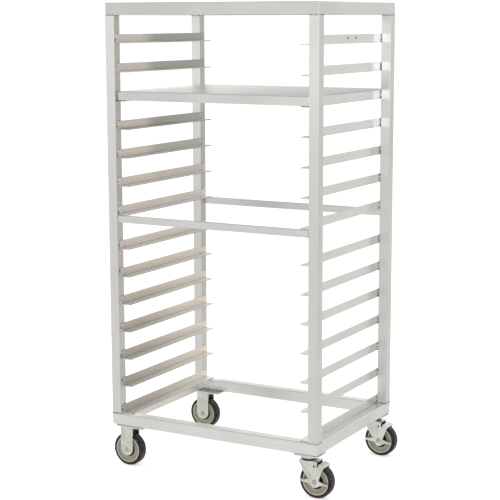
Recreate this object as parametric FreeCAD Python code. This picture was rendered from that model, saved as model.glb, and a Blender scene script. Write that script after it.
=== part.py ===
import FreeCAD, Part
import math
import os

# Rolling sheet pan rack. +Z up, +X to the right and +Y to the back of the side that pans are loaded from.
# The origin is on the floor, at the centre of the rack's overall plan, trailing wheels included.

V = FreeCAD.Vector

# Frame
rack_width = 736.0
rack_depth = 542.0
rack_height = 1474.0
post_side = 32.5
post_corner = 2.0
tube_wall = 1.6
top_rail_height = 38.1
top_rail_width = 32.5
base_rail_height = 38.1
base_rail_width = 36.5
base_underside = 135.0
top_rail_corner = 2.6
base_rail_corner = 4.0
top_frame_corner = 4.0
base_frame_corner = 2.6
brace_height = 22.6
brace_thickness = 12.7
brace_setback = 2.5
brace_bottom = 793.5

# Pan slides
slide_flange = 27.8
slide_ledge = 34.0
slide_thickness = 2.8
slide_setback = 9.5
slide_nose_radius = 8.0
slide_root_radius = 1.6
slide_pitch = 88.9
levels_per_group = 7
upper_group_top = 1377.9
lower_group_top = 734.5
tag_hole_radius = 3.0
tag_hole_pitch = 57.0
tag_hole_back = 262.0
tag_hole_depth = 1.9

# Removable shelf
shelf_side_gap = 3.2
shelf_lift = 0.3
shelf_sheet = 1.6
shelf_lip = 28.6
shelf_bend = 3.0
shelf_level = 3

# Casters
wheel_radius = 53.7
tyre_width = 30.5
tyre_shoulder = 6.5
rim_radius = 43.0
rim_inner_radius = 38.5
rim_width = 30.0
web_width = 23.0
recess_radius = 24.0
recess_web_width = 5.5
boss_radius = 11.0
boss_width = 34.5
axle_radius = 4.76
axle_running_gap = 0.06
axle_head_radius = 8.0
axle_head_height = 2.6
front_caster_inset = 28.0
rear_caster_inset = 40.0
fork_inner_gap = 35.5
fork_thickness = 3.0
rigid_fork_width = 45.0
rigid_fork_round_lift = 3.0
rigid_wheel_x = -320.0
rigid_pad_left = -353.0
rigid_pad_right = -253.0
pad_thickness = 4.8
pad_depth = 60.0
front_pad_inset = 0.0
rear_pad_inset = 6.0
kingpin_x = 329.0
swivel_lead = 27.0
swivel_pad_half = 38.5
race_radius = 25.5
race_disc = 4.7
race_skirt = 3.0
race_skirt_height = 9.2
ball_radius = 4.0
ball_circle = 17.0
ball_count = 12
ball_gap = 0.15
yoke_disc = 3.2
kingpin_radius = 5.0
kingpin_gap = 0.06
kingpin_head_radius = 8.0
kingpin_head = 3.8
kingpin_head_gap = 0.4
yoke_left = -27.0
yoke_right = 34.6
yoke_hole_radius = 3.0

# Brake
brake_side_gap = 0.5
brake_thickness = 2.0
brake_shoe_gap = 2.4
brake_shoe_start = 56.0
brake_shoe_end = 76.0
brake_hub_radius = 14.0
pedal_reach = 50.0
pedal_depth = 8.0
toe_reach = 45.2

# Derived positions
half_w = rack_width / 2.0
half_d = rack_depth / 2.0
base_top = base_underside + base_rail_height
top_rail_bottom = rack_height - top_rail_height
post_length = top_rail_bottom - base_top
inner_half = half_w - post_side
swivel_wheel_x = kingpin_x + swivel_lead
plan_left = rigid_wheel_x - wheel_radius
plan_right = swivel_wheel_x + wheel_radius
frame_x = -(plan_left + plan_right) / 2.0
pad_bottom = base_underside - pad_thickness
fork_half = fork_inner_gap / 2.0 + fork_thickness
race_underside = pad_bottom - race_disc
ball_centre_z = race_underside - ball_gap - ball_radius
yoke_top = ball_centre_z - ball_radius - ball_gap
yoke_disc_bottom = yoke_top - yoke_disc
slide_half_length = half_d - slide_setback


def placed(shape, x, y, z):
    moved = shape.copy()
    moved.translate(V(x, y, z))
    return moved


def box(x0, x1, y0, y1, z0, z1):
    return Part.makeBox(x1 - x0, y1 - y0, z1 - z0, V(x0, y0, z0))


def prism(points, height, z):
    corners = [V(x, y, z) for x, y in points]
    wire = Part.makePolygon(corners + [corners[0]])
    return Part.Face(wire).extrude(V(0, 0, height))


def rounded_rectangle(width, height, radius):
    block = box(-width / 2, width / 2, -height / 2, height / 2, 0, 1)
    uprights = [e for e in block.Edges if abs(e.Vertexes[0].Z - e.Vertexes[1].Z) > 0.5]
    rounded = block.makeFillet(radius, uprights)
    return [f for f in rounded.Faces if f.CenterOfMass.z < 0.001][0]


def square_tube(width, height, radius, wall, length):
    outer = rounded_rectangle(width, height, radius).extrude(V(0, 0, length))
    inner_radius = max(radius - wall, 0.6)
    inner = rounded_rectangle(width - 2 * wall, height - 2 * wall, inner_radius).extrude(V(0, 0, length))
    return outer.cut(inner)


def rail(along, side, width, height, z, tube_corner, frame_corner):
    # One tube of a rectangular frame, mitred at both ends; along is the axis it runs on.
    length = rack_width if along == "x" else rack_depth
    tube = square_tube(width, height, tube_corner, tube_wall, length)
    tube.translate(V(0, 0, -length / 2))
    if along == "x":
        tube.rotate(V(0, 0, 0), V(0, 1, 0), 90)
        tube.rotate(V(0, 0, 0), V(1, 0, 0), 90)
        tube.translate(V(0, side * (half_d - width / 2), z + height / 2))
        outer, inner = side * half_d, side * (half_d - width)
        mitre = [(-half_w, outer), (half_w, outer), (half_w - width, inner), (-half_w + width, inner)]
    else:
        tube.rotate(V(0, 0, 0), V(1, 0, 0), 90)
        tube.translate(V(side * (half_w - width / 2), 0, z + height / 2))
        outer, inner = side * half_w, side * (half_w - width)
        mitre = [(outer, -half_d), (outer, half_d), (inner, half_d - width), (inner, -half_d + width)]
    trimmed = tube.common(prism(mitre, height + 2, z - 1))
    plan = rounded_rectangle(rack_width, rack_depth, frame_corner).extrude(V(0, 0, height + 2))
    plan.translate(V(0, 0, z - 1))
    return trimmed.common(plan)


def top_rail(along, side):
    size = (top_rail_width, top_rail_height, top_rail_bottom)
    return rail(along, side, *size, top_rail_corner, top_frame_corner)


def base_rail(along, side):
    size = (base_rail_width, base_rail_height, base_underside)
    return rail(along, side, *size, base_rail_corner, base_frame_corner)


def post(side_x, side_y):
    tube = square_tube(post_side, post_side, post_corner, tube_wall, post_length)
    return placed(tube, side_x * (half_w - post_side / 2), side_y * (half_d - post_side / 2), base_top)


def brace(side_y):
    length = 2 * inner_half
    tube = square_tube(brace_thickness, brace_height, 1.5, 1.4, length)
    tube.translate(V(0, 0, -length / 2))
    tube.rotate(V(0, 0, 0), V(0, 1, 0), 90)
    tube.rotate(V(0, 0, 0), V(1, 0, 0), 90)
    y = side_y * (half_d - brace_setback - brace_thickness / 2)
    return placed(tube, 0, y, brace_bottom + brace_height / 2)


def slide(side, flange_top):
    # L section: a flange against the posts and a ledge at its foot that points into the rack.
    bottom = flange_top - slide_flange
    wall = sorted([side * inner_half, side * (inner_half - slide_thickness)])
    ledge = sorted([side * inner_half, side * (inner_half - slide_ledge)])
    upright = box(wall[0], wall[1], -slide_half_length, slide_half_length, bottom, flange_top)
    foot = box(ledge[0], ledge[1], -slide_half_length, slide_half_length, bottom, bottom + slide_thickness)
    tip = side * (inner_half - slide_ledge)
    noses = []
    for edge in foot.Edges:
        upright_edge = abs(edge.Vertexes[0].Z - edge.Vertexes[1].Z) > 0.5
        if upright_edge and abs(edge.CenterOfMass.x - tip) < 0.01:
            noses.append(edge)
    foot = foot.makeFillet(slide_nose_radius, noses)
    section = upright.fuse(foot).removeSplitter()
    root_x = side * (inner_half - slide_thickness)
    heel_x = side * inner_half
    roots = []
    for edge in section.Edges:
        middle = edge.CenterOfMass
        long_edge = edge.Length > slide_half_length
        at_root = abs(middle.x - root_x) < 0.01 and abs(middle.z - bottom - slide_thickness) < 0.01
        at_heel = abs(middle.x - heel_x) < 0.01 and abs(middle.z - bottom) < 0.01
        if long_edge and (at_root or at_heel):
            roots.append(edge)
    return section.makeFillet(slide_root_radius, roots)


def tag_holes(flange_top):
    # Two small blind holes sunk into the outer face of the top slide's right flange.
    holes = []
    for step in (0, 1):
        y = -half_d + tag_hole_back + step * tag_hole_pitch
        start = V(inner_half - tag_hole_depth, y, flange_top - slide_flange * 0.39)
        holes.append(Part.makeCylinder(tag_hole_radius, 2 * tag_hole_depth, start, V(1, 0, 0)))
    return Part.makeCompound(holes)


def shelf():
    # A flat sheet with its front and rear edges bent down; the lips stand on the ledges.
    half_x = inner_half - slide_thickness - shelf_side_gap
    ledge_top = upper_group_top - (shelf_level - 1) * slide_pitch - slide_flange + slide_thickness
    z0 = ledge_top + shelf_lift
    z1 = z0 + shelf_lip
    outer = box(-half_x, half_x, -slide_half_length, slide_half_length, z0, z1)
    tops = []
    for edge in outer.Edges:
        middle = edge.CenterOfMass
        if edge.Length > half_x and abs(middle.z - z1) < 0.01:
            tops.append(edge)
    outer = outer.makeFillet(shelf_bend, tops)
    deep = slide_half_length - shelf_sheet
    inner = box(-half_x - 1, half_x + 1, -deep, deep, z0 - 1, z1 - shelf_sheet)
    undersides = []
    for edge in inner.Edges:
        middle = edge.CenterOfMass
        if edge.Length > half_x and abs(middle.z - z1 + shelf_sheet) < 0.01:
            undersides.append(edge)
    inner = inner.makeFillet(shelf_bend - shelf_sheet, undersides)
    return outer.cut(inner)


def turned(points):
    # Solid of revolution about the Y axis; points are (radius, y).
    corners = [V(r, y, 0) for r, y in points]
    wire = Part.makePolygon(corners + [corners[0]])
    return Part.Face(wire).revolve(V(0, 0, 0), V(0, 1, 0), 360)


def tyre():
    ring = turned([
        (rim_radius, -tyre_width / 2),
        (wheel_radius, -tyre_width / 2),
        (wheel_radius, tyre_width / 2),
        (rim_radius, tyre_width / 2),
    ])
    rims = []
    for edge in ring.Edges:
        is_rim = isinstance(edge.Curve, Part.Circle) and abs(edge.Curve.Radius - wheel_radius) < 0.01
        if is_rim:
            rims.append(edge)
    return ring.makeFillet(tyre_shoulder, rims)


def hub():
    bore = axle_radius + axle_running_gap
    half = [
        (bore, boss_width / 2),
        (boss_radius, boss_width / 2),
        (boss_radius + 1, recess_web_width / 2),
        (recess_radius - 1, recess_web_width / 2),
        (recess_radius, web_width / 2),
        (rim_inner_radius - 1.5, web_width / 2),
        (rim_inner_radius, rim_width / 2),
        (rim_radius, rim_width / 2),
    ]
    return turned(half + [(r, -y) for r, y in reversed(half)])


def axle(head_at):
    # Riveted axle: a plain pin with a low domed head at each end, head_at from the middle.
    pin = Part.makeCylinder(axle_radius, 2 * head_at, V(0, -head_at, 0), V(0, 1, 0))
    for side in (-1, 1):
        base = V(0, side * head_at, 0)
        tip = axle_head_radius * 0.62
        head = Part.makeCone(axle_head_radius, tip, axle_head_height, base, V(0, side, 0))
        pin = pin.fuse(head)
    return pin.removeSplitter()


def plate(faces, y0, y1):
    # Flat plate whose outline is the union of faces in the XZ plane, from y0 to y1.
    body = None
    for face in faces:
        piece = placed(face.extrude(V(0, y1 - y0, 0)), 0, y0, 0)
        body = piece if body is None else body.fuse(piece)
    return body.removeSplitter()


def leg_plate(faces, side):
    inner, outer = sorted([side * fork_inner_gap / 2, side * fork_half])
    return plate(faces, inner, outer)


def polygon_xz(points):
    corners = [V(x, 0, z) for x, z in points]
    return Part.Face(Part.makePolygon(corners + [corners[0]]))


def disc_xz(radius, x, z):
    return Part.Face(Part.Wire(Part.makeCircle(radius, V(x, 0, z), V(0, 1, 0))))


def rigid_fork():
    # Inverted U of strip with straight legs that end in a half round; the axle is at the origin in X and Y.
    half = rigid_fork_width / 2
    round_z = wheel_radius + rigid_fork_round_lift
    straight = polygon_xz([(-half, round_z), (half, round_z), (half, pad_bottom), (-half, pad_bottom)])
    outline = [straight, disc_xz(half, 0, round_z)]
    body = box(-half, half, -fork_half, fork_half, pad_bottom - fork_thickness, pad_bottom)
    for side in (-1, 1):
        body = body.fuse(leg_plate(outline, side))
    body = body.removeSplitter()
    shoulders = []
    for edge in body.Edges:
        middle = edge.CenterOfMass
        on_top = abs(middle.z - pad_bottom) < 0.01
        if on_top and abs(abs(middle.y) - fork_half) < 0.01 and edge.Length > half:
            shoulders.append(edge)
    body = body.makeFillet(fork_thickness * 0.9, shoulders)
    bore = Part.makeCylinder(axle_radius, 4 * fork_half, V(0, -2 * fork_half, wheel_radius), V(0, 1, 0))
    return body.cut(bore)


def yoke_outline():
    # The kingpin is at x = 0 and the axle at x = swivel_lead.
    z = wheel_radius
    taper = polygon_xz([
        (yoke_left, yoke_top - 1.0),
        (yoke_left, z + 59.0),
        (yoke_left + 8.0, z + 47.0),
        (yoke_left + 14.5, z + 31.0),
        (yoke_left + 22.0, z + 22.0),
        (yoke_left + 30.0, z + 10.0),
        (swivel_lead - 11.0, z - 4.0),
        (swivel_lead + 11.0, z + 4.0),
        (yoke_right, z + 22.0),
        (yoke_right, yoke_top - 1.0),
    ])
    return [taper, disc_xz(12.5, swivel_lead, z)]


def swivel_yoke():
    outline = yoke_outline()
    disc = Part.makeCylinder(race_radius, yoke_disc, V(0, 0, yoke_disc_bottom))
    bridge = box(yoke_left, yoke_right, -fork_half, fork_half, yoke_disc_bottom, yoke_top - 1.0)
    body = disc.fuse(bridge)
    for side in (-1, 1):
        body = body.fuse(leg_plate(outline, side))
    body = body.removeSplitter()
    reach = 4 * fork_half
    axle_hole = Part.makeCylinder(axle_radius, reach, V(swivel_lead, -reach / 2, wheel_radius), V(0, 1, 0))
    lightening = Part.makeCylinder(
        yoke_hole_radius, reach, V(swivel_lead - 2.5, -reach / 2, wheel_radius + 48.0), V(0, 1, 0))
    pin_hole = Part.makeCylinder(kingpin_radius + kingpin_gap, 20, V(0, 0, yoke_disc_bottom - 5))
    return body.cut(axle_hole).cut(lightening).cut(pin_hole)


def upper_race():
    disc = Part.makeCylinder(race_radius, race_disc, V(0, 0, race_underside))
    skirt = Part.makeCylinder(race_radius, race_skirt_height, V(0, 0, pad_bottom - race_skirt_height))
    skirt_foot = V(0, 0, pad_bottom - race_skirt_height)
    hollow = Part.makeCylinder(race_radius - race_skirt, race_skirt_height, skirt_foot)
    pin_hole = Part.makeCylinder(kingpin_radius, 20, V(0, 0, race_underside - 10))
    return disc.fuse(skirt.cut(hollow)).removeSplitter().cut(pin_hole)


def kingpin():
    foot = yoke_disc_bottom - kingpin_head_gap
    pin = Part.makeCylinder(kingpin_radius, pad_bottom - foot, V(0, 0, foot))
    head_foot = V(0, 0, foot - kingpin_head)
    head = Part.makeCone(kingpin_head_radius * 0.6, kingpin_head_radius, kingpin_head, head_foot)
    return pin.fuse(head).removeSplitter()


def bearing_balls():
    balls = []
    for i in range(ball_count):
        angle = 2 * math.pi * i / ball_count
        x = ball_circle * math.cos(angle)
        y = ball_circle * math.sin(angle)
        balls.append(Part.makeSphere(ball_radius, V(x, y, ball_centre_z)))
    return Part.makeCompound(balls)


def ring_sector(inner, outer, start, end):
    # Sector of a ring in the XZ plane about the axle, angles in degrees up from +X.
    a0 = math.radians(start)
    a1 = math.radians(end)
    am = (a0 + a1) / 2

    def at(radius, angle):
        return V(swivel_lead + radius * math.cos(angle), 0, wheel_radius + radius * math.sin(angle))

    edges = [
        Part.Arc(at(outer, a0), at(outer, am), at(outer, a1)).toShape(),
        Part.LineSegment(at(outer, a1), at(inner, a1)).toShape(),
        Part.Arc(at(inner, a1), at(inner, am), at(inner, a0)).toShape(),
        Part.LineSegment(at(inner, a0), at(outer, a0)).toShape(),
    ]
    return Part.Face(Part.Wire(edges))


def about_axle(points):
    return polygon_xz([(swivel_lead + x, wheel_radius + z) for x, z in points])


def brake_arm_outline(front):
    # Rocker plate on the axle with an arm up to the shoe; the front plate carries the pedal and toe arms.
    shoe_inner = wheel_radius + brake_shoe_gap
    faces = [disc_xz(brake_hub_radius, swivel_lead, wheel_radius)]
    arm = [(-13, 4), (-6, 22), (3.5, 38), (9.6, 48), (23, 48.7), (28, 41), (20.4, 23.5), (14, 6)]
    faces.append(about_axle(arm))
    shoe_outer = shoe_inner + brake_thickness
    faces.append(ring_sector(shoe_inner - 10, shoe_outer, brake_shoe_start, brake_shoe_end))
    if front:
        heel = [(-17.7, -5), (-4.5, -18.3), (8.5, -15.5), (19, -9), (21.2, 3.7), (-13, 8)]
        faces.append(about_axle(heel))
        faces.append(about_axle([
            (-12, -6), (-28, -4.3), (5 - pedal_reach, -2.7), (-pedal_reach, 3.2),
            (5.4 - pedal_reach, 7.2), (-26, 6.6), (-12, 8)]))
        toe = [(12, -10), (28, -7), (toe_reach, -7.6), (toe_reach, 0.5), (30.7, -0.4), (12, 6)]
        faces.append(about_axle(toe))
    return faces


def brake():
    inner = fork_half + brake_side_gap
    outer = inner + brake_thickness
    shoe_inner = wheel_radius + brake_shoe_gap
    shoe = ring_sector(shoe_inner, shoe_inner + brake_thickness, brake_shoe_start, brake_shoe_end)
    body = plate([shoe], -outer, outer)
    body = body.fuse(plate(brake_arm_outline(True), -outer, -inner))
    body = body.fuse(plate(brake_arm_outline(False), inner, outer))
    pedal_x = swivel_lead - pedal_reach + 5.4
    pedal_z = wheel_radius + 4.6
    pedal_top = pedal_z + brake_thickness
    body = body.fuse(box(pedal_x, pedal_x + 16, -outer - pedal_depth, -inner, pedal_z, pedal_top))
    toe_x = swivel_lead + toe_reach
    toe_z = wheel_radius - 2.0
    toe_top = toe_z + brake_thickness
    body = body.fuse(box(toe_x - 14, toe_x, -outer - pedal_depth * 0.7, -inner, toe_z, toe_top))
    bore = Part.makeCylinder(
        axle_radius + axle_running_gap, 6 * outer, V(swivel_lead, -3 * outer, wheel_radius), V(0, 1, 0))
    return body.removeSplitter().cut(bore)


parts = {}

for label, side in (("front", -1), ("rear", 1)):
    parts["top_rail_" + label] = top_rail("x", side)
    parts["base_rail_" + label] = base_rail("x", side)
    parts["mid_brace_" + label] = brace(side)

for label, side in (("left", -1), ("right", 1)):
    parts["top_rail_" + label] = top_rail("y", side)
    parts["base_rail_" + label] = base_rail("y", side)

for depth_label, side_y in (("front", -1), ("rear", 1)):
    for width_label, side_x in (("left", -1), ("right", 1)):
        parts["post_" + depth_label + "_" + width_label] = post(side_x, side_y)

flange_tops = []
for group_top in (upper_group_top, lower_group_top):
    for i in range(levels_per_group):
        flange_tops.append(group_top - i * slide_pitch)

for number, flange_top in enumerate(flange_tops, start=1):
    right = slide(1, flange_top)
    if number == 1:
        right = right.cut(tag_holes(flange_top))
    parts["pan_slides_level_%02d" % number] = Part.makeCompound([slide(-1, flange_top), right])

parts["removable_shelf"] = shelf()

for label, side, caster_inset, pad_inset in (
        ("front", -1, front_caster_inset, front_pad_inset), ("rear", 1, rear_caster_inset, rear_pad_inset)):
    y = side * (half_d - caster_inset)
    left = "_" + label + "_left"
    right = "_" + label + "_right"
    pad_y0, pad_y1 = sorted([side * (half_d - pad_inset), side * (half_d - pad_inset - pad_depth)])
    parts["caster_pad" + left] = box(
        rigid_pad_left, rigid_pad_right, pad_y0, pad_y1, pad_bottom, base_underside)
    parts["caster_pad" + right] = box(
        kingpin_x - swivel_pad_half, kingpin_x + swivel_pad_half, pad_y0, pad_y1, pad_bottom, base_underside)
    parts["rigid_fork" + left] = placed(rigid_fork(), rigid_wheel_x, y, 0)
    parts["axle" + left] = placed(axle(fork_half), rigid_wheel_x, y, wheel_radius)
    parts["wheel_hub" + left] = placed(hub(), rigid_wheel_x, y, wheel_radius)
    parts["tyre" + left] = placed(tyre(), rigid_wheel_x, y, wheel_radius)
    parts["swivel_race" + right] = placed(upper_race(), kingpin_x, y, 0)
    parts["kingpin" + right] = placed(kingpin(), kingpin_x, y, 0)
    parts["bearing_balls" + right] = placed(bearing_balls(), kingpin_x, y, 0)
    parts["swivel_yoke" + right] = placed(swivel_yoke(), kingpin_x, y, 0)
    brake_outer = fork_half + brake_side_gap + brake_thickness
    parts["axle" + right] = placed(axle(brake_outer + brake_side_gap), swivel_wheel_x, y, wheel_radius)
    parts["wheel_hub" + right] = placed(hub(), swivel_wheel_x, y, wheel_radius)
    parts["tyre" + right] = placed(tyre(), swivel_wheel_x, y, wheel_radius)
    parts["brake_lever" + right] = placed(brake(), kingpin_x, y, 0)

os.makedirs("parts", exist_ok=True)
for name, shape in parts.items():
    solid = placed(shape, frame_x, 0, 0)
    print(name, len(solid.Solids), solid.isValid(), round(solid.Volume))
    solid.exportStep("parts/" + name + ".step")
print(len(parts), "nodes, frame centre at x =", round(frame_x, 3))
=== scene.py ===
import math

import bmesh
import bpy
from mathutils import Matrix, Vector

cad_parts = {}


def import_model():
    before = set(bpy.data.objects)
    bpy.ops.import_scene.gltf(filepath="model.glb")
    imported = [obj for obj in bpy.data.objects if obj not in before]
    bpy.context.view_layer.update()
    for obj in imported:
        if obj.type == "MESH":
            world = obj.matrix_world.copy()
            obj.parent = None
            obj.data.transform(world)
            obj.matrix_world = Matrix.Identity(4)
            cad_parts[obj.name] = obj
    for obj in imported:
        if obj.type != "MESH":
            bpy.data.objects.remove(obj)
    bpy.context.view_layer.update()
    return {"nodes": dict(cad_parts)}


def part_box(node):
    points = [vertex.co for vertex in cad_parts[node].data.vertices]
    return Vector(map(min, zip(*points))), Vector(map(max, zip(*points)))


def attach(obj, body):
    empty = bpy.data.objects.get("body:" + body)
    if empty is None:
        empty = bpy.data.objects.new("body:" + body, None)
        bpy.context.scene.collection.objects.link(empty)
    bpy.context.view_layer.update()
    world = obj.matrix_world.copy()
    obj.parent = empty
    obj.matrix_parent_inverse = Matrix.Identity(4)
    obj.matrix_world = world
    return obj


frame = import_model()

# Rolling sheet pan rack: looks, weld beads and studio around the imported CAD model.
# Metres, +Z up, +Y to the back, the same frame as the CAD.

X, Y, Z = 0, 1, 2
SIDES = ("left", "right")
ENDS = ("front", "rear")
CORNERS = [(end, side) for end in ENDS for side in SIDES]
LEVELS = range(1, 15)

# Camera
CAMERA_AT = (2.1215, -3.8562, 1.4247)
CAMERA_YAW = math.radians(28.544)
CAMERA_TILT = math.radians(-9.338)
CAMERA_ROLL = math.radians(-0.076)
CAMERA_LENS = 100.34
CAMERA_SHIFT = (-0.0283, -0.0044)
CAMERA_SENSOR = 36.0
CAMERA_CLIP_END = 100.0

# Studio
BACKGROUND = (1.0, 1.0, 1.0, 1.0)
BACKGROUND_STRENGTH = 1.1
FLOOR_COLOUR = (0.95, 0.95, 0.945, 1.0)
FLOOR_PATCHES = (0.945, 0.945, 0.945, 1.0)
FLOOR_GLOW = 0.45
FLOOR_ROUGHNESS = 0.85
FLOOR_SIZE = 40.0

# Softboxes: name, place, aim, size and power
SOFTBOXES = (
    ("key_softbox", (-1.8, -3.0, 3.6), (0.0, 0.0, 0.9), (2.2, 1.6), 30.0),
    ("top_softbox", (0.2, 0.8, 3.8), (0.0, 0.0, 0.6), (2.4, 2.0), 25.0),
)

# Surround: azimuth from +Y towards +X (from, to, softness), elevation (from, to, softness), light.
# The camera stands at azimuth 151. A later patch covers an earlier one.
SURROUND_BASE = (0.92, 0.92, 0.91)
SURROUND = [
    # ceiling
    ((-200.0, 200.0, 1.0), (36.0, 100.0, 8.0), (0.70, 0.71, 0.70)),
    # back wall, seen in the faces that look up: dim, with a paler left part and a bright upper band
    ((-70.0, -5.0, 8.0), (4.0, 26.0, 3.0), (0.56, 0.57, 0.55)),
    ((-70.0, -30.5, 2.5), (4.0, 26.0, 3.0), (0.88, 0.88, 0.87)),
    ((-70.0, -5.0, 8.0), (13.0, 36.0, 2.0), (1.10, 1.10, 1.09)),
    # front wall, seen in the front faces: floor edge, dark skirting, dim top and a bright band at eye level
    ((-149.0, -125.0, 3.0), (-35.0, -3.0, 3.0), (0.84, 0.85, 0.82)),
    ((-172.0, -149.0, 3.0), (-13.0, -5.5, 2.5), (0.70, 0.71, 0.69)),
    ((-175.0, -120.0, 4.0), (3.5, 40.0, 2.0), (0.66, 0.66, 0.64)),
    ((-172.0, -149.0, 3.0), (-1.8, 3.5, 1.2), (1.55, 1.55, 1.54)),
    # right wall, and the lamp by the camera that two faces at right angles send back
    ((55.0, 160.0, 10.0), (5.0, 40.0, 3.0), (1.20, 1.20, 1.20)),
    ((136.0, 168.0, 5.0), (-1.5, 7.0, 2.5), (2.60, 2.60, 2.60)),
    # dark foot of the right wall, seen in the tubes' round corners
    ((60.0, 130.0, 6.0), (-30.0, -12.0, 1.5), (0.72, 0.72, 0.71)),
    ((60.0, 130.0, 6.0), (-13.0, -5.0, 1.5), (0.50, 0.50, 0.49)),
    # right half of the back wall: pale for the right faces, warm and then dim for the left slides
    ((-10.0, 23.4, 0.8), (-3.0, 30.0, 1.5), (1.06, 1.06, 1.05)),
    ((32.5, 46.0, 1.2), (-30.0, 8.0, 4.0), (0.82, 0.73, 0.64)),
    ((28.6, 33.0, 0.9), (-6.0, 4.0, 1.5), (0.60, 0.62, 0.59)),
]

# Parts of the CAD that the looks refer to
TOP_SLIDES_LO, TOP_SLIDES_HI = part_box("pan_slides_level_01")
UPPER_FLANGE_TOP = TOP_SLIDES_HI.z
LOWER_FLANGE_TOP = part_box("pan_slides_level_08")[1].z
FLANGE_HEIGHT = TOP_SLIDES_HI.z - TOP_SLIDES_LO.z
SLIDE_PITCH = UPPER_FLANGE_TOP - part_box("pan_slides_level_02")[1].z
SLIDE_THICKNESS = 0.0028
SLIDE_LEDGE = 0.034
FLANGE_SHARE = FLANGE_HEIGHT / SLIDE_PITCH
ROOT_SHARE = FLANGE_SHARE - SLIDE_THICKNESS / SLIDE_PITCH
LEDGE_TIP_X = TOP_SLIDES_LO.x + SLIDE_LEDGE
TIP_EDGE_X = LEDGE_TIP_X - 0.011
GROUP_GAP_Z = (0.778, 0.780)
TAG_HOLE_RADIUS = 0.003
TAG_HOLES_Y = (-0.009, 0.048)
TAG_HOLE_DROP = 0.39
TAG_HOLES_Z = UPPER_FLANGE_TOP - TAG_HOLE_DROP * FLANGE_HEIGHT
RACE_FOOT, RACE_HEAD = (corner.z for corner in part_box("swivel_race_front_right"))
HUB_LO, HUB_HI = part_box("wheel_hub_front_left")
HUB_RADIUS = (HUB_HI.x - HUB_LO.x) / 2.0

# Aluminium: pale and dark tone of each kind of piece. The top rail, top side rail and front and rear base
# rail tones are lit and shaded copies of the one tube tone: painted shade on the top rails, most of all on
# the side rails, and painted light on the front and rear base rails.
TUBE_PALE = (0.765, 0.765, 0.745, 1.0)
TUBE_DARK = (0.640, 0.640, 0.618, 1.0)
SHADED_TOP_PALE = (0.750, 0.750, 0.732, 1.0)
SHADED_TOP_DARK = (0.628, 0.628, 0.610, 1.0)
SHADED_SIDE_RAIL_PALE = (0.660, 0.660, 0.645, 1.0)
SHADED_SIDE_RAIL_DARK = (0.555, 0.555, 0.540, 1.0)
LIT_BASE_PALE = (0.815, 0.815, 0.795, 1.0)
LIT_BASE_DARK = (0.690, 0.690, 0.668, 1.0)
SHEET_PALE = (0.748, 0.746, 0.726, 1.0)
SHEET_DARK = (0.650, 0.647, 0.627, 1.0)
GRAIN = 0.75
MIDDLE_SOFT = 0.01
ROUND_EDGE = 0.0009
HOLE_SHADOW = (0.030, 0.028, 0.032, 1.0)

# Painted highlights beside the rear right welds, on the post's front face and the slides' outer faces
PAINTED_HIGHLIGHT_FOOT_Z = 1.080
PAINTED_HIGHLIGHT_HEAD_Z = 1.378
PAINTED_HIGHLIGHT_START_Y = 0.181
POST_PAINTED_HIGHLIGHT = 0.75
SLIDE_PAINTED_HIGHLIGHT = 0.62

# Casters
PRESSED_EDGE = 0.0007
RACE_PALE = (0.80, 0.84, 0.86, 1.0)
RACE_GREY = (0.62, 0.67, 0.70, 1.0)
RACE_SHADOW = (0.060, 0.110, 0.150, 1.0)
RACE_PAD_SHADOW = (0.16, 0.14, 0.12, 1.0)
HUB_RIM = (0.500, 0.455, 0.370, 1.0)
HUB_WEB = (0.330, 0.315, 0.245, 1.0)
HUB_WEB_DULL = tuple(0.84 * c for c in HUB_WEB[:3]) + (1.0,)
HUB_PAINTED_SHADE = (0.022, 0.022, 0.018, 1.0)
HUB_BOSS = (0.200, 0.190, 0.155, 1.0)
TREAD_DARK = (0.0060, 0.0048, 0.0044, 1.0)
TREAD_PALE = (0.0240, 0.0205, 0.0185, 1.0)
TREAD_NICK = (0.22, 0.21, 0.20, 1.0)

# Weld beads: radii, ripple and how far a run stands off an edge or stops short of a corner
FRAME_BEAD = 0.0026
HEAD_BEAD = 0.8 * FRAME_BEAD
BRACE_BEAD = 0.9 * FRAME_BEAD
SLIDE_BEAD = 0.0026
END_BEAD = 0.0032
CORNER_BEAD = 0.0042
PAD_BEAD = 0.0026
RIPPLE_PITCH = 0.0016
RIPPLE_STEPS = 4
BEAD_SQUASH = 0.75
BEAD_SIDES = 8
BEAD_END = 0.45
FRAME_SINK = 0.0004
BRACE_SINK = 0.0003
POST_STOP = 0.003
SLIDE_STOP = 0.002
UPRIGHT_STOP = 0.003
CORNER_STOP = 0.001
PAD_SIDE_STOP = 0.004
PAD_LONG_STOP = 0.008
LOOP_CORNER = 0.003
LOOP_STEPS = 3


# ---------------------------------------------------------------- node helpers

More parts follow.
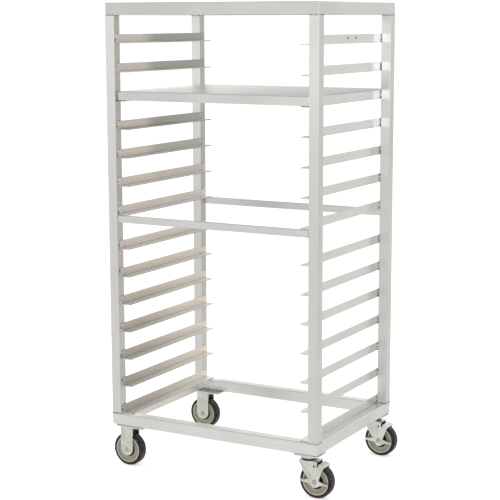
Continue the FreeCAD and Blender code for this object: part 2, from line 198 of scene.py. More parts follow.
class Tree:
    """A material's node tree with short calls for the nodes that the finishes use."""

    def __init__(self, name):
        self.material = bpy.data.materials.new(name)
        self.material.use_nodes = True
        self.nodes = self.material.node_tree.nodes
        self.links = self.material.node_tree.links
        self.nodes.clear()
        self.output = self.nodes.new("ShaderNodeOutputMaterial")
        self.shader = self.nodes.new("ShaderNodeBsdfPrincipled")
        self.links.new(self.shader.outputs["BSDF"], self.output.inputs["Surface"])
        self.where = self.nodes.new("ShaderNodeTexCoord").outputs["Object"]

    def put(self, socket, value):
        if hasattr(value, "is_output"):
            self.links.new(value, socket)
        else:
            socket.default_value = value

    def mapped(self, scale, turn=(0, 0, 0), shift=(0, 0, 0)):
        node = self.nodes.new("ShaderNodeMapping")
        self.put(node.inputs["Vector"], self.where)
        node.inputs["Scale"].default_value = scale
        node.inputs["Rotation"].default_value = turn
        node.inputs["Location"].default_value = shift
        return node.outputs["Vector"]

    def noise(self, vector, detail=2.0, rough=0.5, distortion=0.0):
        node = self.nodes.new("ShaderNodeTexNoise")
        self.put(node.inputs["Vector"], vector)
        node.inputs["Scale"].default_value = 1.0
        node.inputs["Detail"].default_value = detail
        node.inputs["Roughness"].default_value = rough
        node.inputs["Distortion"].default_value = distortion
        return node.outputs["Fac"]

    def cell_walls(self, vector):
        """Distance to the nearest wall of a pattern of cells."""
        node = self.nodes.new("ShaderNodeTexVoronoi")
        node.feature = "DISTANCE_TO_EDGE"
        self.put(node.inputs["Vector"], vector)
        node.inputs["Scale"].default_value = 1.0
        return node.outputs["Distance"]

    def ranged(self, value, low, high, to_low, to_high, smooth=True):
        node = self.nodes.new("ShaderNodeMapRange")
        node.interpolation_type = "SMOOTHSTEP" if smooth else "LINEAR"
        self.put(node.inputs["Value"], value)
        node.inputs["From Min"].default_value = low
        node.inputs["From Max"].default_value = high
        node.inputs["To Min"].default_value = to_low
        node.inputs["To Max"].default_value = to_high
        return node.outputs["Result"]

    def above(self, value, low, high):
        """0 up to low, 1 from high on."""
        return self.ranged(value, low, high, 0.0, 1.0)

    def below(self, value, low, high):
        """1 up to low, 0 from high on."""
        return self.ranged(value, low, high, 1.0, 0.0)

    def between(self, value, low, high, soft):
        rise = self.above(value, low - soft, low + soft)
        fall = self.below(value, high - soft, high + soft)
        return self.math("MULTIPLY", rise, fall)

    def radius(self, half_width):
        """Distance from a wheel's own Y axis, for a piece that is half_width in radius."""
        centred = self.nodes.new("ShaderNodeVectorMath")
        centred.operation = "MULTIPLY_ADD"
        self.links.new(self.nodes.new("ShaderNodeTexCoord").outputs["Generated"], centred.inputs[0])
        centred.inputs[1].default_value = (2.0 * half_width, 0.0, 2.0 * half_width)
        centred.inputs[2].default_value = (-half_width, 0.0, -half_width)
        length = self.nodes.new("ShaderNodeVectorMath")
        length.operation = "LENGTH"
        self.links.new(centred.outputs["Vector"], length.inputs[0])
        return length.outputs["Value"]

    def place(self):
        """The X, Y and Z of the shaded point in the CAD frame."""
        node = self.nodes.new("ShaderNodeSeparateXYZ")
        self.links.new(self.where, node.inputs[0])
        return node.outputs["X"], node.outputs["Y"], node.outputs["Z"]

    def facing(self, axis, sign):
        """1 on the flat faces that look along one axis."""
        node = self.nodes.new("ShaderNodeSeparateXYZ")
        self.links.new(self.nodes.new("ShaderNodeNewGeometry").outputs["True Normal"], node.inputs[0])
        return self.above(self.math("MULTIPLY", node.outputs[axis], sign), 0.55, 0.85)

    def both(self, *masks):
        """1 where every mask is 1."""
        result = masks[0]
        for mask in masks[1:]:
            result = self.math("MULTIPLY", result, mask)
        return result

    def tinted(self, base, tints):
        """The colour times each tint where that tint's mask is 1."""
        for mask, factor in tints:
            base = self.mixed(mask, base, factor + (1.0,), blend="MULTIPLY")
        return base

    def math(self, operation, a, b=0.0):
        node = self.nodes.new("ShaderNodeMath")
        node.operation = operation
        self.put(node.inputs[0], a)
        self.put(node.inputs[1], b)
        return node.outputs["Value"]

    def mixed(self, share, a, b, blend="MIX"):
        node = self.nodes.new("ShaderNodeMix")
        node.data_type = "RGBA"
        node.blend_type = blend
        self.put(node.inputs["Factor"], share)
        self.put(node.inputs["A"], a)
        self.put(node.inputs["B"], b)
        return node.outputs["Result"]

    def bump(self, height, distance, strength, normal=None):
        node = self.nodes.new("ShaderNodeBump")
        node.inputs["Distance"].default_value = distance
        node.inputs["Strength"].default_value = strength
        self.put(node.inputs["Height"], height)
        if normal is not None:
            self.put(node.inputs["Normal"], normal)
        return node.outputs["Normal"]

    def rounded(self, radius):
        """A softened normal along edges, and a mask that is 1 on the edges."""
        bevel = self.nodes.new("ShaderNodeBevel")
        bevel.samples = 6
        bevel.inputs["Radius"].default_value = radius
        flat = self.nodes.new("ShaderNodeNewGeometry")
        dot = self.nodes.new("ShaderNodeVectorMath")
        dot.operation = "DOT_PRODUCT"
        self.links.new(bevel.outputs["Normal"], dot.inputs[0])
        self.links.new(flat.outputs["Normal"], dot.inputs[1])
        edge = self.ranged(dot.outputs["Value"], 0.995, 0.86, 0.0, 1.0)
        return bevel.outputs["Normal"], edge

    def finish(self, colour, roughness, metallic, normal, **constants):
        self.put(self.shader.inputs["Base Color"], colour)
        self.put(self.shader.inputs["Roughness"], roughness)
        self.shader.inputs["Metallic"].default_value = metallic
        self.put(self.shader.inputs["Normal"], normal)
        for name, value in constants.items():
            self.shader.inputs[name.replace("_", " ")].default_value = value
        return self.material


def grey(level, warm=0.0):
    return (level + warm, level, level - warm, 1.0)


def stretched(axis, along, across):
    scale = [across, across, across]
    scale[axis] = along
    return tuple(scale)


# -------------------------------------------------------------------- finishes

def aluminium(name, axis, pale, dark, gloss=0.30, streaks=0.25, lines=0.3, tones_and_painted_light=None):
    """Mill-finish aluminium extruded along one axis: die lines, soft stains, scratches and rubbed edges."""
    t = Tree(name)
    fine = t.noise(t.mapped(stretched(axis, 3.0, 1400.0)), detail=1.0)
    broad = t.noise(t.mapped(stretched(axis, 0.9, 130.0), shift=(0.3, 0.7, 0.1)), detail=2.0)
    stains = t.noise(t.mapped((6.0, 6.0, 6.0)), detail=3.0, rough=0.5, distortion=0.4)
    slanted = t.mapped(stretched(axis, 240.0, 16.0), turn=(0.5, 0.35, 0.6))
    scratch = t.below(t.cell_walls(slanted), 0.0, 0.010)
    sparse = t.above(t.noise(t.mapped((21.0, 21.0, 21.0), shift=(7, 3, 1)), detail=2.0), 0.62, 0.72)
    scratch = t.math("MULTIPLY", scratch, sparse)
    soft_normal, edge = t.rounded(ROUND_EDGE)

    tone = t.above(broad, 0.25, 0.75)
    base = t.mixed(t.math("MULTIPLY", tone, streaks), pale, dark)
    cloud = t.ranged(stains, 0.40, 0.75, 0.0, 0.16)
    base = t.mixed(cloud, base, tuple(0.88 * c for c in dark[:3]) + (1.0,))
    base = t.mixed(t.math("MULTIPLY", scratch, 0.20), base, grey(0.90))
    base = t.mixed(t.math("MULTIPLY", edge, 0.05), base, grey(0.88, 0.004))
    # The piece's extra tones, mostly painted light and shade, come from the function passed in.
    if tones_and_painted_light is not None:
        base = tones_and_painted_light(t, base)

    rough = t.ranged(fine, 0.3, 0.7, gloss - 0.04, gloss + 0.04, smooth=False)
    rough = t.math("ADD", rough, t.ranged(stains, 0.3, 0.7, -0.02, 0.03))

    normal = t.bump(fine, 0.00003, lines, soft_normal)
    normal = t.bump(broad, 0.00004, 0.3, normal)
    normal = t.bump(t.math("MULTIPLY", scratch, -1.0), 0.00002, 0.5, normal)
    tangent = t.nodes.new("ShaderNodeTangent")
    tangent.direction_type = "RADIAL"
    tangent.axis = "XYZ"[axis]
    t.links.new(tangent.outputs["Tangent"], t.shader.inputs["Tangent"])
    return t.finish(base, rough, 1.0, normal, Anisotropic=GRAIN)


def left_half(t, x):
    return t.below(x, -MIDDLE_SOFT, MIDDLE_SOFT)


def right_half(t, x):
    return t.above(x, -MIDDLE_SOFT, MIDDLE_SOFT)


def post_painted_light(t, base):
    """Painted shade and a warm painted reflection on the inner faces, greyer towards the top, painted shade
    on the outer faces towards the top, and painted highlights by the rear right slide welds.
    """
    x, y, z = t.place()
    inner = t.both(t.facing(X, 1.0), left_half(t, x))
    outer = t.both(t.facing(X, 1.0), right_half(t, x))
    high = t.above(z, 0.10, 0.95)
    # Painted shade and a warm painted reflection on the inner faces, darker towards the top; painted shade
    # on the outer faces towards the top.
    base = t.tinted(base, (
        (inner, (0.95, 0.93, 0.90)),
        (t.both(inner, high), (0.76, 0.77, 0.77)),
        (t.both(outer, high), (0.93, 0.93, 0.92)),
    ))
    # Painted highlight on the rear right post's front face beside the upper slide flanges.
    below_top = t.math("SUBTRACT", UPPER_FLANGE_TOP, z)
    in_level = t.math("FRACT", t.math("DIVIDE", below_top, SLIDE_PITCH))
    by_flange = t.below(in_level, FLANGE_SHARE - 0.01, FLANGE_SHARE + 0.03)
    rear_right = t.both(t.facing(Y, -1.0), t.above(y, 0.10, 0.11), t.above(x, 0.10, 0.11))
    upper_levels = t.between(z, UPPER_FLANGE_TOP - 4 * SLIDE_PITCH, PAINTED_HIGHLIGHT_HEAD_Z, 0.002)
    painted_highlight = t.both(rear_right, by_flange, upper_levels)
    return t.mixed(t.math("MULTIPLY", painted_highlight, POST_PAINTED_HIGHLIGHT), base, grey(0.94))


def slide_tones_and_painted_light(t, base):
    """Painted reflections and shade on the left slides' inner faces, ledges darker at the top levels and
    the low front, painted highlights by the rear welds.
    """
    x, y, z = t.place()
    left = left_half(t, x)
    right = right_half(t, x)
    inner = t.both(t.facing(X, 1.0), left)
    outer = t.both(t.facing(X, 1.0), right)
    ledge = t.both(t.facing(Z, 1.0), left)

    grey_far = t.both(inner, t.above(y, -0.13, -0.03), t.above(z, 0.80, 1.10))
    brown_near = t.both(inner, t.below(y, -0.26, 0.16), t.below(z, 0.40, 0.72))
    pale_far = t.both(inner, t.above(y, -0.02, 0.20), t.below(z, 0.30, 0.75))

    group_top = t.ranged(z, *GROUP_GAP_Z, LOWER_FLANGE_TOP, UPPER_FLANGE_TOP, smooth=False)
    down = t.math("SUBTRACT", group_top, z)
    in_level = t.math("FRACT", t.math("DIVIDE", down, SLIDE_PITCH))
    root_line = t.between(in_level, ROOT_SHARE - 0.024, ROOT_SHARE + 0.02, 0.007)
    on_flange = t.below(x, TIP_EDGE_X - 0.001, TIP_EDGE_X + 0.001)
    tip = t.both(inner, t.above(x, TIP_EDGE_X - 0.001, TIP_EDGE_X + 0.001))

    # Painted reflections and shade: the warm, grey and pale inner-face tints, a painted shadow along the
    # ledge root on the flange, painted shade on the lower ledge tips and a painted highlight on the upper
    # ones, and the outer-face tint. The ledge tints only make the ledges darker at the top levels and at
    # the low front.
    base = t.tinted(base, (
        (inner, (0.95, 0.90, 0.86)),
        (t.both(inner, t.above(z, 1.08, 1.25)), (0.93, 0.96, 0.97)),
        (grey_far, (0.62, 0.67, 0.655)),
        (brown_near, (0.74, 0.74, 0.72)),
        (pale_far, (1.18, 1.16, 1.13)),
        (t.both(inner, root_line, on_flange), (0.66, 0.66, 0.66)),
        (t.both(tip, t.below(z, 1.05, 1.20)), (0.70, 0.72, 0.73)),
        (t.both(tip, t.above(z, 1.05, 1.20)), (1.22, 1.24, 1.26)),
        (t.both(ledge, t.above(z, 0.9, 1.3)), (0.84, 0.84, 0.83)),
        (t.both(ledge, t.below(z, 0.3, 0.8), t.below(y, -0.2, 0.1)), (0.86, 0.86, 0.86)),
        (outer, (0.94, 0.93, 0.92)),
    ))

    # Painted highlight on the right slides' outer faces at the far end of the upper levels.
    far_end = t.above(y, PAINTED_HIGHLIGHT_START_Y - 0.003, PAINTED_HIGHLIGHT_START_Y + 0.003)
    painted_highlight = t.both(outer, far_end, t.above(z, PAINTED_HIGHLIGHT_FOOT_Z - 0.01, PAINTED_HIGHLIGHT_FOOT_Z + 0.01))
    base = t.mixed(t.math("MULTIPLY", painted_highlight, SLIDE_PAINTED_HIGHLIGHT), base, grey(0.92))

    # Painted shade: level three's near flange ends darkened to stand for the dark gap beside the shelf lip.
    third = t.between(z, UPPER_FLANGE_TOP - 2.4 * SLIDE_PITCH, UPPER_FLANGE_TOP - 1.9 * SLIDE_PITCH, 0.001)
    near_end = t.both(t.facing(Y, -1.0), third, t.below(y, -0.20, -0.19))
    base = t.tinted(base, ((near_end, (0.20, 0.20, 0.19)),))

    for hole_y in TAG_HOLES_Y:
        across = t.math("ABSOLUTE", t.math("SUBTRACT", y, hole_y))
        up = t.math("ABSOLUTE", t.math("SUBTRACT", z, TAG_HOLES_Z))
        reach = t.math("MAXIMUM", across, up)
        spot = t.both(right, t.below(reach, TAG_HOLE_RADIUS + 0.0002, TAG_HOLE_RADIUS + 0.0008))
        base = t.mixed(spot, base, HOLE_SHADOW)
    return base


def sheet_top_tones(t, base):
    """Shelf top paler on the left and duller towards the right and the front."""
    x, y, _ = t.place()
    top = t.facing(Z, 1.0)
    return t.tinted(base, (
        (t.both(top, t.below(x, -0.36, 0.05)), (1.22, 1.21, 1.20)),
        (t.both(top, t.above(x, -0.15, 0.30)), (0.76, 0.76, 0.75)),
        (t.both(top, t.below(y, -0.27, -0.15)), (0.92, 0.92, 0.91)),
    ))


def base_painted_light(t, base):
    """Base rails: painted shade on the outer right side, painted light on the upper faces, most of all on
    the left.
    """
    x, _, _ = t.place()
    top = t.facing(Z, 1.0)
    return t.tinted(base, (
        (t.both(t.facing(X, 1.0), t.above(x, 0.33, 0.34)), (0.94, 0.94, 0.93)),
        (top, (1.07, 1.07, 1.06)),
        (t.both(top, t.below(x, -0.30, -0.28)), (1.13, 1.16, 1.17)),
    ))


def weld_metal(name, crest, soot):
    """Aluminium weld: grey beads with sooty ripples and small bright crests."""
    t = Tree(name)
    frost = t.noise(t.mapped((900.0, 900.0, 900.0)), detail=3.0)
    bloom = t.noise(t.mapped((230.0, 230.0, 230.0)), detail=3.0)
    base = t.mixed(t.above(bloom, 0.40, 0.58), crest, soot)
    rough = t.ranged(frost, 0.3, 0.7, 0.30, 0.52)
    return t.finish(base, rough, 1.0, t.bump(frost, 0.0001, 0.5))


def zinc(name, pale, dark, gloss):
    """Bright zinc plate on pressed steel: faint mottling, drawing marks and paler edges."""
    t = Tree(name)
    grain = t.noise(t.mapped((260.0, 260.0, 260.0)), detail=3.0, rough=0.6)
    mottle = t.noise(t.mapped((38.0, 38.0, 38.0), shift=(1, 4, 2)), detail=4.0, distortion=1.2)
    drawn = t.noise(t.mapped((700.0, 700.0, 40.0)), detail=1.0)
    soft_normal, edge = t.rounded(PRESSED_EDGE)
    base = t.mixed(t.above(mottle, 0.35, 0.68), pale, dark)
    base = t.mixed(t.math("MULTIPLY", edge, 0.5), base, grey(0.92, 0.01))
    rough = t.ranged(grain, 0.3, 0.7, gloss - 0.06, gloss + 0.08)
    normal = t.bump(drawn, 0.00004, 0.4, soft_normal)
    normal = t.bump(grain, 0.00006, 0.35, normal)
    return t.finish(base, rough, 1.0, normal)


def race(name):
    """Swivel race: zinc with a painted shadow line under the pad and a blue-grey shadow band at its foot.
    """
    t = Tree(name)
    z = t.place()[Z]
    grain = t.noise(t.mapped((260.0, 260.0, 260.0)), detail=3.0, rough=0.6)
    soft_normal, _ = t.rounded(PRESSED_EDGE)
    up = t.ranged(z, RACE_FOOT, RACE_HEAD, 0.0, 1.0, smooth=False)
    base = t.mixed(t.above(grain, 0.3, 0.7), RACE_PALE, RACE_GREY)
    base = t.mixed(t.below(up, 0.38, 0.46), base, RACE_SHADOW)
    # Painted shadow line under the pad.
    base = t.mixed(t.above(up, 0.80, 0.88), base, RACE_PAD_SHADOW)
    rough = t.ranged(grain, 0.3, 0.7, 0.22, 0.34)
    return t.finish(base, rough, 1.0, t.bump(grain, 0.00006, 0.35, soft_normal))


def moulded(name):
    """Moulded hub: pale rim, beige-grey web with a moulded ring in painted shade, and painted shade in the
    recess round the axle.
    """
    t = Tree(name)
    r = t.radius(HUB_RADIUS)
    fine = t.noise(t.mapped((1500.0, 1500.0, 1500.0)), detail=2.0)
    drift = t.noise(t.mapped((70.0, 70.0, 70.0)), detail=3.0)
    wobble = t.math("ADD", r, t.ranged(drift, 0.3, 0.7, -0.0006, 0.0006))
    soft_normal, _ = t.rounded(ROUND_EDGE)
    groove = t.between(r, 0.0324, 0.0336, 0.0006)
    base = t.mixed(t.above(drift, 0.3, 0.7), HUB_WEB, HUB_WEB_DULL)
    # Painted shade in the groove of the moulded ring and in the recess round the axle.
    base = t.mixed(t.math("MULTIPLY", groove, 0.45), base, HUB_PAINTED_SHADE)
    base = t.mixed(t.above(wobble, 0.0394, 0.0406), base, HUB_RIM)
    base = t.mixed(t.below(wobble, 0.0236, 0.0250), base, HUB_PAINTED_SHADE)
    base = t.mixed(t.below(r, 0.0112, 0.0118), base, HUB_BOSS)
    rough = t.ranged(fine, 0.3, 0.7, 0.42, 0.56)
    normal = t.bump(fine, 0.00006, 0.35, soft_normal)
    normal = t.bump(groove, -0.0005, 0.6, normal)
    return t.finish(base, rough, 0.0, normal, Specular_IOR_Level=0.35)


def tyre_rubber(name):
    """Dark tread: fine turning lines round the wheel, dust and small bright scuffs on the running face."""
    t = Tree(name)
    grain = t.noise(t.mapped((900.0, 900.0, 900.0)), detail=2.0)
    scuff = t.noise(t.mapped((70.0, 70.0, 70.0)), detail=5.0, rough=0.65)
    lines = t.noise(t.mapped((12.0, 900.0, 12.0)), detail=1.0)
    nicks = t.above(t.noise(t.mapped((260.0, 120.0, 260.0)), detail=3.0), 0.60, 0.68)
    base = t.mixed(t.above(scuff, 0.35, 0.72), TREAD_DARK, TREAD_PALE)
    base = t.mixed(t.math("MULTIPLY", nicks, 0.55), base, TREAD_NICK)
    rough = t.ranged(scuff, 0.3, 0.7, 0.34, 0.50)
    normal = t.bump(lines, 0.00018, 0.5)
    normal = t.bump(grain, 0.00010, 0.35, normal)
    return t.finish(base, rough, 0.0, normal, Specular_IOR_Level=0.28)


tube_along = {
    X: aluminium("tube_along_x", X, TUBE_PALE, TUBE_DARK),
    Z: aluminium("tube_along_z", Z, TUBE_PALE, TUBE_DARK, tones_and_painted_light=post_painted_light),
}
base_along = {
    X: aluminium("base_rail_along_x", X, LIT_BASE_PALE, LIT_BASE_DARK, tones_and_painted_light=base_painted_light),
    Y: aluminium("base_rail_along_y", Y, TUBE_PALE, TUBE_DARK, tones_and_painted_light=base_painted_light),
}
top_along = {
    X: aluminium("top_rail_along_x", X, SHADED_TOP_PALE, SHADED_TOP_DARK, lines=0.15),
    Y: aluminium("top_rail_along_y", Y, SHADED_SIDE_RAIL_PALE, SHADED_SIDE_RAIL_DARK, lines=0.15),
}
slide_finish = aluminium("slide_angle_mill", Y, TUBE_PALE, TUBE_DARK, gloss=0.27, streaks=0.3, lines=0.35,
                         tones_and_painted_light=slide_tones_and_painted_light)
sheet_finish = aluminium("shelf_sheet_mill", X, SHEET_PALE, SHEET_DARK, gloss=0.26, streaks=0.2, lines=0.25,
                         tones_and_painted_light=sheet_top_tones)
pad_finish = aluminium("pad_plate_mill", X, TUBE_PALE, TUBE_DARK, gloss=0.36, streaks=0.4)
weld_finish = weld_metal("weld_bead", grey(0.78, 0.004), grey(0.16, 0.006))
burnt_finish = weld_metal("weld_burnt", grey(0.70, 0.006), grey(0.09, 0.004))
fork_finish = zinc("fork_zinc", (0.720, 0.735, 0.665, 1.0), (0.600, 0.615, 0.560, 1.0), 0.30)
brake_finish = zinc("brake_zinc", (0.760, 0.765, 0.710, 1.0), (0.620, 0.630, 0.580, 1.0), 0.26)
race_finish = race("race_zinc")
ball_finish = zinc("ball_steel", (0.400, 0.430, 0.460, 1.0), (0.250, 0.270, 0.300, 1.0), 0.20)
axle_finish = zinc("axle_zinc", (0.520, 0.520, 0.490, 1.0), (0.330, 0.330, 0.310, 1.0), 0.38)
hub_finish = moulded("hub_moulded")
rubber_finish = tyre_rubber("tyre_tread")

FINISH_OF = (
    ("mid_brace", tube_along[X]),
    ("post", tube_along[Z]),
    ("pan_slides", slide_finish),
    ("removable_shelf", sheet_finish),
    ("caster_pad", pad_finish),
    (("rigid_fork", "swivel_yoke"), fork_finish),
    ("brake_lever", brake_finish),
    ("swivel_race", race_finish),
    ("bearing_balls", ball_finish),
    (("axle", "kingpin"), axle_finish),
    ("wheel_hub", hub_finish),
    ("tyre", rubber_finish),
)


def finish_of(node):
    along = X if node.endswith(ENDS) else Y
    if node.startswith("top_rail"):
        return top_along[along]
    if node.startswith("base_rail"):
        return base_along[along]
    return next(finish for start, finish in FINISH_OF if node.startswith(start))


def paint(node, material):
    mesh = frame["nodes"][node].data
    if not mesh.materials:
        mesh.materials.append(material)
    for i in range(len(mesh.materials)):
        mesh.materials[i] = material


for name in frame["nodes"]:
    paint(name, finish_of(name))


# ------------------------------------------------------------------ weld beads

def bead_stations(points, closed):
    """Places along a run of points, each with the direction of the run there."""
    points = [Vector(p) for p in points]
    if closed:
        points.append(points[0])
    stations = []
    for a, b in zip(points, points[1:]):
        steps = max(2, round((b - a).length / RIPPLE_PITCH * RIPPLE_STEPS))
        for i in range(steps):
            stations.append((a.lerp(b, i / steps), (b - a).normalized()))
    if not closed:
        stations.append((points[-1], (points[-1] - points[-2]).normalized()))
    return stations


def ripple(travelled, radius):
    """How full the bead is at a distance along it: one ripple per pitch and a slow swell."""
    phase = (travelled / RIPPLE_PITCH) % 1.0
    swell = 0.84 + 0.16 * math.sqrt(max(0.0, 1.0 - (2.0 * phase - 1.0) ** 2))
    return swell * (1.0 + 0.10 * math.sin(travelled * 310.0 + radius * 9000.0))


def bead(mesh, points, radius, closed):
    """Adds a rippled weld bead along a run of points to the mesh being built."""
    stations = bead_stations(points, closed)
    travelled = 0.0
    before = stations[0][0]
    rings = []
    for k, (centre, direction) in enumerate(stations):
        travelled += (centre - before).length
        before = centre
        across = direction.orthogonal().normalized()
        other = direction.cross(across)
        swell = ripple(travelled, radius)
        if not closed and k in (0, len(stations) - 1):
            swell *= BEAD_END
        ring = []
        for side in range(BEAD_SIDES):
            turn = 2.0 * math.pi * side / BEAD_SIDES
            offset = across * math.cos(turn) + other * math.sin(turn)
            ring.append(mesh.verts.new(centre + offset * radius * swell * BEAD_SQUASH))
        rings.append(ring)
    pairs = list(zip(rings, rings[1:]))
    if closed:
        pairs.append((rings[-1], rings[0]))
    for low, high in pairs:
        for side in range(BEAD_SIDES):
            after = (side + 1) % BEAD_SIDES
            mesh.faces.new((low[side], low[after], high[after], high[side]))
    if not closed:
        mesh.faces.new(list(reversed(rings[0])))
        mesh.faces.new(rings[-1])


def weld_piece(name, runs, finish):
    """One named piece made of several beads, each (points, radius, closed)."""
    mesh = bmesh.new()
    for points, radius, closed in runs:
        bead(mesh, points, radius, closed)
    bmesh.ops.recalc_face_normals(mesh, faces=mesh.faces)
    data = bpy.data.meshes.new(name)
    mesh.to_mesh(data)
    mesh.free()
    for face in data.polygons:
        face.use_smooth = True
    data.materials.append(finish)
    piece = bpy.data.objects.new(name, data)
    bpy.context.collection.objects.link(piece)
    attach(piece, "rack_frame")


def rounded_loop(lo, hi, z):
    """Points round a post at one height, with rounded corners."""
    r = LOOP_CORNER
    loop = []
    centres = ((hi.x - r, lo.y + r, -90), (hi.x - r, hi.y - r, 0),
               (lo.x + r, hi.y - r, 90), (lo.x + r, lo.y + r, 180))
    for cx, cy, start in centres:
        for i in range(LOOP_STEPS + 1):
            angle = math.radians(start + 90.0 * i / LOOP_STEPS)
            loop.append((cx + r * math.cos(angle), cy + r * math.sin(angle), z))
    return loop


def post_welds(end, side):
    """A bead round the foot and one round the head of a post."""
    lo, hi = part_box(f"post_{end}_{side}")
    foot = rounded_loop(lo, hi, lo.z + FRAME_SINK)
    head = rounded_loop(lo, hi, hi.z - FRAME_SINK)
    weld_piece(f"weld_post_foot_{end}_{side}", [(foot, FRAME_BEAD, True)], weld_finish)
    weld_piece(f"weld_post_head_{end}_{side}", [(head, HEAD_BEAD, True)], weld_finish)


def brace_welds(end):
    """A bead round both ends of a mid brace."""
    lo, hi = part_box(f"mid_brace_{end}")
    runs = []
    for x in (lo.x + BRACE_SINK, hi.x - BRACE_SINK):
        loop = [(x, lo.y, lo.z), (x, hi.y, lo.z), (x, hi.y, hi.z), (x, lo.y, hi.z)]
        runs.append((loop, BRACE_BEAD, True))
    weld_piece(f"weld_brace_{end}", runs, weld_finish)


def slide_welds(end, side):
    """Beads round every slide's end on one post, and a burnt one in the corner beside the post."""
    post_lo, post_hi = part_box(f"post_{end}_{side}")
    front = end == "front"
    corner_y = post_hi.y if front else post_lo.y
    runs = []
    corners = []
    for level in LEVELS:
        lo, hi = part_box(f"pan_slides_level_{level:02d}")
        outer = lo.x if side == "left" else hi.x
        start = max(post_lo.y + POST_STOP, lo.y + SLIDE_STOP)
        stop = min(post_hi.y - POST_STOP, hi.y - SLIDE_STOP)
        end_y = lo.y - FRAME_SINK if front else hi.y + FRAME_SINK
        runs.append(([(outer, start, hi.z), (outer, stop, hi.z)], SLIDE_BEAD, False))
        runs.append(([(outer, start, lo.z), (outer, stop, lo.z)], SLIDE_BEAD, False))
        upright = [(outer, end_y, lo.z + UPRIGHT_STOP), (outer, end_y, hi.z - UPRIGHT_STOP)]
        runs.append((upright, END_BEAD, False))
        corner = [(outer, corner_y, lo.z + CORNER_STOP), (outer, corner_y, hi.z - CORNER_STOP)]
        corners.append((corner, CORNER_BEAD, False))
    weld_piece(f"weld_slides_{end}_{side}", runs, weld_finish)
    weld_piece(f"weld_corner_{end}_{side}", corners, burnt_finish)


def pad_welds(end, side):
    """Beads between a caster pad and the base rail over it: two across and one along its inner edge."""
    lo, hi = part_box(f"caster_pad_{end}_{side}")
    rail_lo, rail_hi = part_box(f"base_rail_{end}")
    inner_y = rail_hi.y if end == "front" else rail_lo.y
    outer_y = lo.y if end == "front" else hi.y
    start = min(inner_y, outer_y) + PAD_SIDE_STOP
    stop = max(inner_y, outer_y) - PAD_SIDE_STOP
    runs = [([(x, start, hi.z), (x, stop, hi.z)], PAD_BEAD, False) for x in (lo.x, hi.x)]
    along = [(lo.x + PAD_LONG_STOP, inner_y, hi.z), (hi.x - PAD_LONG_STOP, inner_y, hi.z)]
    runs.append((along, PAD_BEAD, False))
    weld_piece(f"weld_pad_{end}_{side}", runs, weld_finish)


for end, side in CORNERS:
    post_welds(end, side)
for end in ENDS:
    brace_welds(end)
for side in SIDES:
    for end in ENDS:
        slide_welds(end, side)
for end, side in CORNERS:
    pad_welds(end, side)


# ---------------------------------------------------------------------- studio

def floor():
    mesh = bmesh.new()
    bmesh.ops.create_grid(mesh, x_segments=2, y_segments=2, size=FLOOR_SIZE / 2)
    data = bpy.data.meshes.new("studio_floor")
    mesh.to_mesh(data)
    mesh.free()
    t = Tree("studio_floor")
    soft = t.noise(t.mapped((3.0, 3.0, 3.0)), detail=3.0)
    colour = t.mixed(t.above(soft, 0.3, 0.7), FLOOR_COLOUR, FLOOR_PATCHES)
    t.finish(colour, FLOOR_ROUGHNESS, 0.0, t.bump(soft, 0.0005, 0.1), Specular_IOR_Level=0.1,
             Emission_Color=(1.0, 1.0, 1.0, 1.0), Emission_Strength=FLOOR_GLOW)
    data.materials.append(t.material)
    ground = bpy.data.objects.new("studio_floor", data)
    bpy.context.collection.objects.link(ground)
    ground.visible_glossy = False


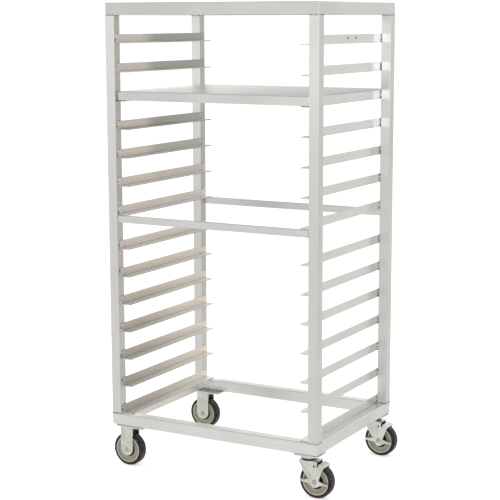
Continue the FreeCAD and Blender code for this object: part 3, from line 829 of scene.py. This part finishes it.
def world():
    """Soft studio surround. Each patch is a wall or a lamp, seen only as light and reflection."""
    studio = bpy.data.worlds.new("studio")
    bpy.context.scene.world = studio
    studio.use_nodes = True
    nodes, links = studio.node_tree.nodes, studio.node_tree.links
    nodes.clear()
    output = nodes.new("ShaderNodeOutputWorld")
    shown = nodes.new("ShaderNodeBackground")
    shown.inputs["Color"].default_value = BACKGROUND
    shown.inputs["Strength"].default_value = BACKGROUND_STRENGTH
    lighting = nodes.new("ShaderNodeBackground")
    lighting.inputs["Strength"].default_value = 1.0
    path = nodes.new("ShaderNodeLightPath")
    mix = nodes.new("ShaderNodeMixShader")
    links.new(path.outputs["Is Camera Ray"], mix.inputs["Fac"])
    links.new(lighting.outputs[0], mix.inputs[1])
    links.new(shown.outputs[0], mix.inputs[2])
    links.new(mix.outputs[0], output.inputs["Surface"])

    parts = nodes.new("ShaderNodeSeparateXYZ")
    links.new(nodes.new("ShaderNodeTexCoord").outputs["Generated"], parts.inputs[0])

    def maths(operation, first, second=None):
        node = nodes.new("ShaderNodeMath")
        node.operation = operation
        links.new(first, node.inputs[0])
        if second is not None:
            links.new(second, node.inputs[1])
        return node.outputs["Value"]

    azimuth = maths("ARCTAN2", parts.outputs["X"], parts.outputs["Y"])
    elevation = maths("ARCSINE", parts.outputs["Z"])

    def step(value, edge, soft, rising):
        node = nodes.new("ShaderNodeMapRange")
        node.interpolation_type = "SMOOTHSTEP"
        links.new(value, node.inputs["Value"])
        node.inputs["From Min"].default_value = math.radians(edge - soft)
        node.inputs["From Max"].default_value = math.radians(edge + soft)
        node.inputs["To Min"].default_value = 0.0 if rising else 1.0
        node.inputs["To Max"].default_value = 1.0 if rising else 0.0
        return node.outputs["Result"]

    colour = None
    for (az0, az1, az_soft), (el0, el1, el_soft), tint in SURROUND:
        mask = maths("MULTIPLY", step(azimuth, az0, az_soft, True), step(azimuth, az1, az_soft, False))
        mask = maths("MULTIPLY", mask, step(elevation, el0, el_soft, True))
        mask = maths("MULTIPLY", mask, step(elevation, el1, el_soft, False))
        node = nodes.new("ShaderNodeMix")
        node.data_type = "RGBA"
        links.new(mask, node.inputs["Factor"])
        if colour is None:
            node.inputs["A"].default_value = SURROUND_BASE + (1.0,)
        else:
            links.new(colour, node.inputs["A"])
        node.inputs["B"].default_value = tint + (1.0,)
        colour = node.outputs["Result"]
    links.new(colour, lighting.inputs["Color"])


def softbox(name, at, towards, size, power):
    data = bpy.data.lights.new(name, "AREA")
    data.shape = "RECTANGLE"
    data.size, data.size_y = size
    data.energy = power
    light = bpy.data.objects.new(name, data)
    light.location = at
    aim = Vector(towards) - Vector(at)
    light.rotation_euler = aim.to_track_quat("-Z", "Y").to_euler()
    light.visible_glossy = False
    bpy.context.collection.objects.link(light)


def camera():
    data = bpy.data.cameras.new("studio_camera")
    data.sensor_width = CAMERA_SENSOR
    data.lens = CAMERA_LENS
    data.shift_x, data.shift_y = CAMERA_SHIFT
    data.clip_end = CAMERA_CLIP_END
    eye = bpy.data.objects.new("studio_camera", data)
    turn = Matrix.Rotation(CAMERA_YAW, 4, "Z")
    tilt = Matrix.Rotation(math.pi / 2 + CAMERA_TILT, 4, "X")
    roll = Matrix.Rotation(CAMERA_ROLL, 4, "Z")
    eye.matrix_world = Matrix.Translation(CAMERA_AT) @ turn @ tilt @ roll
    bpy.context.collection.objects.link(eye)
    bpy.context.scene.camera = eye


floor()
world()
camera()
for lamp in SOFTBOXES:
    softbox(*lamp)
bpy.context.scene.view_settings.view_transform = "Standard"
